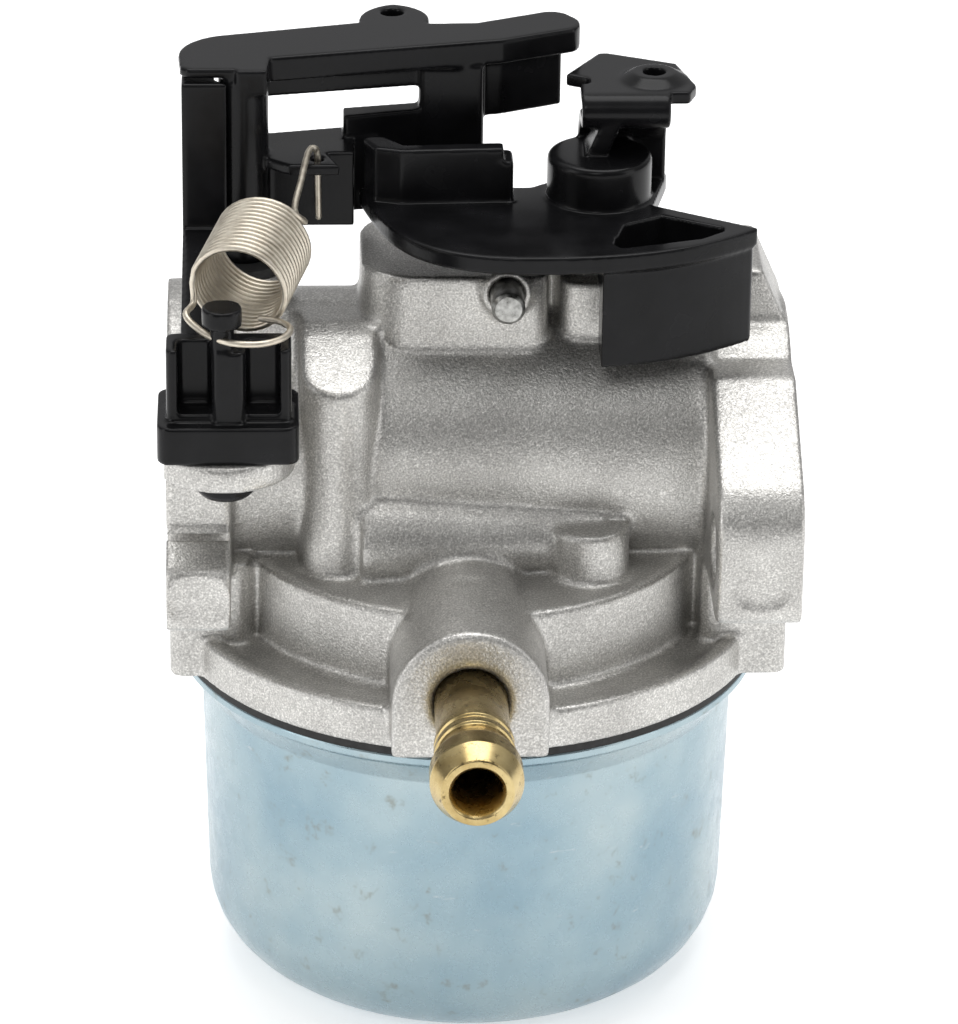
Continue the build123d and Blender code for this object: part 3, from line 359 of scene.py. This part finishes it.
def turned_brass():
    look = Look("turned_brass")
    look.put(Metallic=1.0)
    broad = look.noise(2.2 * MM, 4.0, 0.6)
    spots = look.noise(0.8 * MM, 3.0, 0.65)
    base = look.ramp(broad, (0.30, (0.40, 0.29, 0.12)), (0.68, (0.60, 0.48, 0.24)))
    colour = look.mix(look.ramp(spots, (0.60, 0.0), (0.70, 0.85)), base, (0.10, 0.07, 0.03))
    rings = look.noise(0.30 * MM, 2.0, 0.6, look.stretched((0.02, 1.0, 0.02)))
    roughness = look.span(broad, 0.20, 0.34)
    normal = look.bump(rings, 0.25, 0.03 * MM)
    return look.finish(colour, roughness, normal)


def moulded_black():
    look = Look("moulded_black")
    look.put(Specular_IOR_Level=0.18)
    broad = look.noise(4.0 * MM, 3.0, 0.5)
    grain = look.noise(0.20 * MM, 2.0, 0.5)
    colour = look.ramp(broad, (0.35, (0.005, 0.005, 0.0055)), (0.70, (0.009, 0.009, 0.010)))
    roughness = look.span(broad, 0.20, 0.28, 0.3, 0.7)
    normal = look.bump(broad, 0.06, 0.12 * MM)
    normal = look.bump(grain, 0.08, 0.02 * MM, normal)
    return look.finish(colour, roughness, normal)


def plain_metal(name, dark, light, low, high):
    look = Look(name)
    look.put(Metallic=1.0)
    broad = look.noise(0.9 * MM, 4.0, 0.6)
    colour = look.ramp(broad, (0.32, dark), (0.68, light))
    roughness = look.span(broad, low, high, 0.3, 0.7)
    normal = look.bump(look.noise(0.2 * MM, 2.0), 0.15, 0.02 * MM)
    return look.finish(colour, roughness, normal)


def rubber():
    look = Look("black_rubber")
    look.put(Specular_IOR_Level=0.35)
    broad = look.noise(0.8 * MM, 3.0, 0.6)
    colour = look.ramp(broad, (0.35, (0.012, 0.012, 0.012)), (0.70, (0.030, 0.030, 0.030)))
    roughness = look.span(broad, 0.50, 0.72)
    normal = look.bump(broad, 0.20, 0.04 * MM)
    return look.finish(colour, roughness, normal)


CAST = cast_aluminium()
ZINC = zinc_plate()
BRASS = turned_brass()
BLACK = moulded_black()
RUBBER = rubber()
STEEL = plain_metal("bright_steel", (0.16, 0.16, 0.15), (0.58, 0.58, 0.56), 0.26, 0.44)
SPRING = plain_metal("plated_spring_wire", (0.56, 0.50, 0.41), (0.72, 0.67, 0.57), 0.36, 0.50)
FLOAT = plain_metal("float_moulding", (0.10, 0.10, 0.10), (0.16, 0.16, 0.16), 0.5, 0.6)
SLOT_LOOKS = {
    "cast_aluminium": CAST,
    "zinc_steel": ZINC,
    "plain_steel": STEEL,
    "spring_wire": SPRING,
    "brass": BRASS,
    "black_plastic": BLACK,
    "seal_rubber": RUBBER,
    "float_plastic": FLOAT,
}

for part in RECORD["subparts"]:
    mesh = NODES[part["node"]].data
    mesh.materials.clear()
    mesh.materials.append(SLOT_LOOKS[part["material_slot"]])


# ---------------------------------------------------------------- casting
casting_low, casting_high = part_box("body_casting")
bowl_low, bowl_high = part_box("float_bowl")
gasket_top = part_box("bowl_gasket")[1].z

CASTING_VOXEL = 0.36 * MM
CASTING_ROUNDS = 5
SHARP_REACH = 0.8 * MM
LEAST_SOFTNESS = 0.15


def casting_softness(points):
    """Machined faces keep their edges: both flange faces and the bowl's seat."""
    near = np.minimum(points[:, 0] - casting_low.x, casting_high.x - points[:, 0])
    seat = np.abs(points[:, 2] - gasket_top)
    near = np.minimum(near, seat)
    return np.clip(near / SHARP_REACH, LEAST_SOFTNESS, 1.0)


casting = moulded("body_casting", "casting", CASTING_VOXEL, CASTING_ROUNDS, CAST, casting_softness)
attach(casting, "body")

# ---------------------------------------------------------------- mouldings
MOULDING_VOXEL = 0.18 * MM
MOULDING_ROUNDS = 4

for node, name, body in (
    ("throttle_lever", "throttle_moulding", "throttle"),
    ("choke_lever", "choke_moulding", "choke"),
    ("spring_bracket", "bracket_moulding", "body"),
):
    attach(moulded(node, name, MOULDING_VOXEL, MOULDING_ROUNDS, BLACK), body)

# ---------------------------------------------------------------- bowl
bowl_axis = (bowl_low + bowl_high) / 2
rim_r = (bowl_high.x - bowl_low.x) / 2
bowl_height = bowl_high.z - bowl_low.z
WALL = 0.8 * MM
FOOT_ROUND = 8.5 * MM
BOLT_HOLE_R = 3.15 * MM
DISH_R = 10.0 * MM
DISH_RISE = 4.2 * MM
top_r = rim_r - 2.4 * MM
foot_r = rim_r - 3.2 * MM
bowl_profile = [
    (BOLT_HOLE_R, DISH_RISE, 0),
    (DISH_R - 1.5 * MM, DISH_RISE, 1.0 * MM),
    (DISH_R + 1.5 * MM, 0, 1.4 * MM),
    (foot_r, 0, FOOT_ROUND),
    (top_r, bowl_height - 4.0 * MM, 0.5 * MM),
    (top_r + 1.4 * MM, bowl_height - 1.5 * MM, 1.2 * MM),
    (rim_r, bowl_height - 0.9 * MM, 0.3 * MM),
    (rim_r, bowl_height, 0.3 * MM),
    (top_r - WALL, bowl_height, 0.2 * MM),
    (foot_r - WALL, WALL, FOOT_ROUND - WALL),
    (DISH_R + 1.9 * MM, WALL, 1.0 * MM),
    (DISH_R - 1.1 * MM, DISH_RISE + WALL, 1.4 * MM),
    (BOLT_HOLE_R, DISH_RISE + WALL, 0),
]
bowl_base = (bowl_axis.x, bowl_axis.y, bowl_low.z)
bowl = lathe("bowl_shell", rounded(bowl_profile), bowl_base, (0, 0, 1), 144, ZINC)
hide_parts("float_bowl")
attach(bowl, "body")

# ---------------------------------------------------------------- fuel inlet
barb_low, barb_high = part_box("fuel_inlet_barb")
barb_tip = Vector(((barb_low.x + barb_high.x) / 2, barb_low.y, (barb_low.z + barb_high.z) / 2))
barb_r = (barb_high.x - barb_low.x) / 2
SHANK_R = 3.55 * MM
BORE_R = 2.4 * MM
barb_length = barb_high.y - barb_low.y
barb_profile = [
    (BORE_R, barb_length, 0),
    (SHANK_R, barb_length, 0),
    (SHANK_R, 10.3 * MM, 0.1 * MM),
    (3.85 * MM, 9.8 * MM, 0.15 * MM),
    (3.85 * MM, 9.0 * MM, 0.15 * MM),
    (3.62 * MM, 8.8 * MM, 0.15 * MM),
    (3.62 * MM, 8.4 * MM, 0.15 * MM),
    (3.9 * MM, 8.1 * MM, 0.15 * MM),
    (3.9 * MM, 7.3 * MM, 0.15 * MM),
    (3.68 * MM, 7.1 * MM, 0.15 * MM),
    (3.68 * MM, 6.6 * MM, 0.6 * MM),
    (4.1 * MM, 5.2 * MM, 1.4 * MM),
    (barb_r, 4.3 * MM, 0.8 * MM),
    (barb_r, 2.1 * MM, 0.5 * MM),
    (3.4 * MM, 0, 0.25 * MM),
    (BORE_R + 0.35 * MM, 0, 0.1 * MM),
    (BORE_R, 0.4 * MM, 0.1 * MM),
]
barb = lathe("inlet_barb", rounded(barb_profile, 5), barb_tip, (0, 1, 0), 96, BRASS)
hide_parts("fuel_inlet_barb")
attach(barb, "body")

# ---------------------------------------------------------------- stop pin
pin_low, pin_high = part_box("choke_stop_pin")
pin_r = (pin_high.x - pin_low.x) / 2
pin_tip = Vector(((pin_low.x + pin_high.x) / 2, pin_low.y, (pin_low.z + pin_high.z) / 2))
pin_profile = [
    (0, pin_high.y - pin_low.y, 0),
    (pin_r, pin_high.y - pin_low.y, 0),
    (pin_r, 0.35 * MM, 0.15 * MM),
    (pin_r - 0.35 * MM, 0.02 * MM, 0.15 * MM),
    (0, 0, 0),
]
pin = lathe("stop_pin", rounded(pin_profile, 4), pin_tip, (0, 1, 0), 48, STEEL, closed=False)
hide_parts("choke_stop_pin")
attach(pin, "body")

# ---------------------------------------------------------------- governor spring
WIRE_R = 0.32 * MM
COIL_R = 4.5 * MM
TURNS = 13.375
PITCH = 0.69 * MM
COIL_STEPS = 36
HOOK_STEPS = 6
# The throat axis lies this many millimetres above the frame's origin.
AXIS_HEIGHT = 4.5


def from_axis(x, y, z):
    """A point in millimetres, with its height taken from the throat axis."""
    return Vector((x, y, z + AXIS_HEIGHT)) * MM


coil_start = from_axis(7.1, -25.2, 24.9)
coil_axis = Vector((2.6, 9.2, 1.5)).normalized()
across = (Vector((1, 0, 0)) - coil_axis * coil_axis.x).normalized()
upward = across.cross(coil_axis)


def on_coil(turn):
    """A point on the coil after `turn` turns from its near left rim, first rising over the top."""
    angle = math.pi * (1 - 2 * turn)
    spoke = across * math.cos(angle) + upward * math.sin(angle)
    return coil_start + coil_axis * (PITCH * turn) + spoke * COIL_R


def smooth_path(points, steps):
    """A Catmull-Rom line through the points."""
    made = []
    padded = [points[0] * 2 - points[1], *points, points[-1] * 2 - points[-2]]
    for a, b, c, d in zip(padded, padded[1:], padded[2:], padded[3:]):
        for k in range(steps):
            t = k / steps
            bend = 2 * a - 5 * b + 4 * c - d
            twist = 3 * b - a - 3 * c + d
            made.append(0.5 * ((2 * b) + (c - a) * t + bend * t ** 2 + twist * t ** 3))
    made.append(points[-1])
    return made


# A wide open loop round the knob's neck, close coils, then a long leg hooked through the eye.
near_hook = [
    from_axis(9.2, -25.9, 22.3),
    from_axis(11.0, -26.6, 22.25),
    from_axis(12.0, -28.2, 22.2),
    from_axis(11.2, -30.5, 22.2),
    from_axis(9.2, -31.8, 22.2),
    from_axis(6.6, -31.6, 22.2),
    from_axis(4.5, -30.0, 22.2),
    from_axis(2.9, -27.6, 22.4),
    from_axis(2.2, -26.1, 22.9),
    on_coil(-0.06) + Vector((-0.15, -0.5, -0.1)) * MM,
    on_coil(0.02),
]
coils = [on_coil(k / COIL_STEPS) for k in range(2, int(COIL_STEPS * TURNS) + 1)]
far_hook = [
    on_coil(TURNS + 0.04) + coil_axis * (0.6 * MM),
    from_axis(12.5, -13.6, 28.3),
    from_axis(13.2, -8.0, 29.3),
    from_axis(13.9, -3.0, 30.1),
    from_axis(14.5, -1.9, 30.1),
    from_axis(14.8, -1.6, 29.2),
    from_axis(14.85, -1.6, 26.0),
    from_axis(14.9, -1.6, 22.8),
]
spring_path = smooth_path(near_hook, HOOK_STEPS)[:-1] + coils + smooth_path(far_hook, HOOK_STEPS)
spring = wire("spring_wire", spring_path, WIRE_R, 12, SPRING)
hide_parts("governor_spring")
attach(spring, "body")

# ---------------------------------------------------------------- stage, camera, light
FLOOR_REACH = 3
floor_corners = [
    (x * FLOOR_REACH, y * FLOOR_REACH, cad_box[0][2]) for x, y in ((-1, -1), (1, -1), (1, 1), (-1, 1))
]
floor_mesh = mesh_from("floor", floor_corners, [(0, 1, 2, 3)])
floor_look = Look("pale_floor")
floor_look.put(Base_Color=(0.93, 0.93, 0.93, 1), Roughness=0.9)
floor_look.put(Emission_Color=(1, 1, 1, 1), Emission_Strength=0.50)
floor = add_object("floor", floor_mesh, floor_look.material)

LOOK_DOWN = math.radians(25.0)
LOOK_ASIDE = math.radians(2.4)
ROLL = -0.013
DISTANCE = 0.5556
AIM_ASIDE = 0.4 * MM
AIM_HEIGHT = -5.5 * MM
FILM_HEIGHT = 36.0
FOCAL_LENGTH = 193.4
aim = Vector(((casting_low.x + casting_high.x) / 2 + AIM_ASIDE, 0, AIM_HEIGHT))
flat = math.cos(LOOK_DOWN)
forward = Vector((math.sin(LOOK_ASIDE) * flat, math.cos(LOOK_ASIDE) * flat, -math.sin(LOOK_DOWN)))
level = Vector((math.cos(LOOK_ASIDE), -math.sin(LOOK_ASIDE), 0))
above = level.cross(forward)
right = level * math.cos(ROLL) - above * math.sin(ROLL)
top = level * math.sin(ROLL) + above * math.cos(ROLL)
camera_data = bpy.data.cameras.new("camera")
camera_data.sensor_fit = "VERTICAL"
camera_data.sensor_height = FILM_HEIGHT
camera_data.lens = FOCAL_LENGTH
camera = bpy.data.objects.new("camera", camera_data)
bpy.context.scene.collection.objects.link(camera)
turn = Matrix((right, top, -forward)).transposed().to_4x4()
camera.matrix_world = Matrix.Translation(aim - forward * DISTANCE) @ turn
bpy.context.scene.camera = camera


def softbox(name, place, size, power):
    """A rectangular light that faces the object."""
    data = bpy.data.lights.new(name, "AREA")
    data.shape = "RECTANGLE"
    data.size, data.size_y = size
    data.energy = power
    lamp = bpy.data.objects.new(name, data)
    bpy.context.scene.collection.objects.link(lamp)
    lamp.location = place
    lamp.rotation_euler = (aim - lamp.location).to_track_quat("-Z", "Y").to_euler()


softbox("top_light", Vector((0.06, 0.10, 0.80)), (0.7, 0.5), 3.7)
softbox("left_light", Vector((-0.62, -0.30, 0.22)), (0.30, 0.55), 1.1)
softbox("right_light", Vector((0.66, -0.26, 0.20)), (0.30, 0.55), 0.80)
softbox("front_light", Vector((-0.12, -0.75, 0.62)), (0.30, 0.20), 0.8)

world = bpy.data.worlds.new("studio")
bpy.context.scene.world = world
world.use_nodes = True
studio = world.node_tree
background = studio.nodes["Background"]
direction = studio.nodes.new("ShaderNodeTexCoord").outputs["Generated"]
parts_of = studio.nodes.new("ShaderNodeSeparateXYZ")
studio.links.new(direction, parts_of.inputs["Vector"])
height_ramp = studio.nodes.new("ShaderNodeValToRGB")
low_sky, high_sky = height_ramp.color_ramp.elements
low_sky.color = (0.22, 0.22, 0.23, 1)
high_sky.position = 0.85
studio.links.new(parts_of.outputs["Z"], height_ramp.inputs["Fac"])
depth_range = studio.nodes.new("ShaderNodeMapRange")
depth_range.inputs["From Min"].default_value = -1.0
depth_range.inputs["To Min"].default_value = 0.15
depth_range.inputs["To Max"].default_value = 1.0
studio.links.new(parts_of.outputs["Y"], depth_range.inputs["Value"])
studio.links.new(height_ramp.outputs["Color"], background.inputs["Color"])
studio.links.new(depth_range.outputs["Result"], background.inputs["Strength"])
bpy.context.scene.view_settings.view_transform = "Standard"
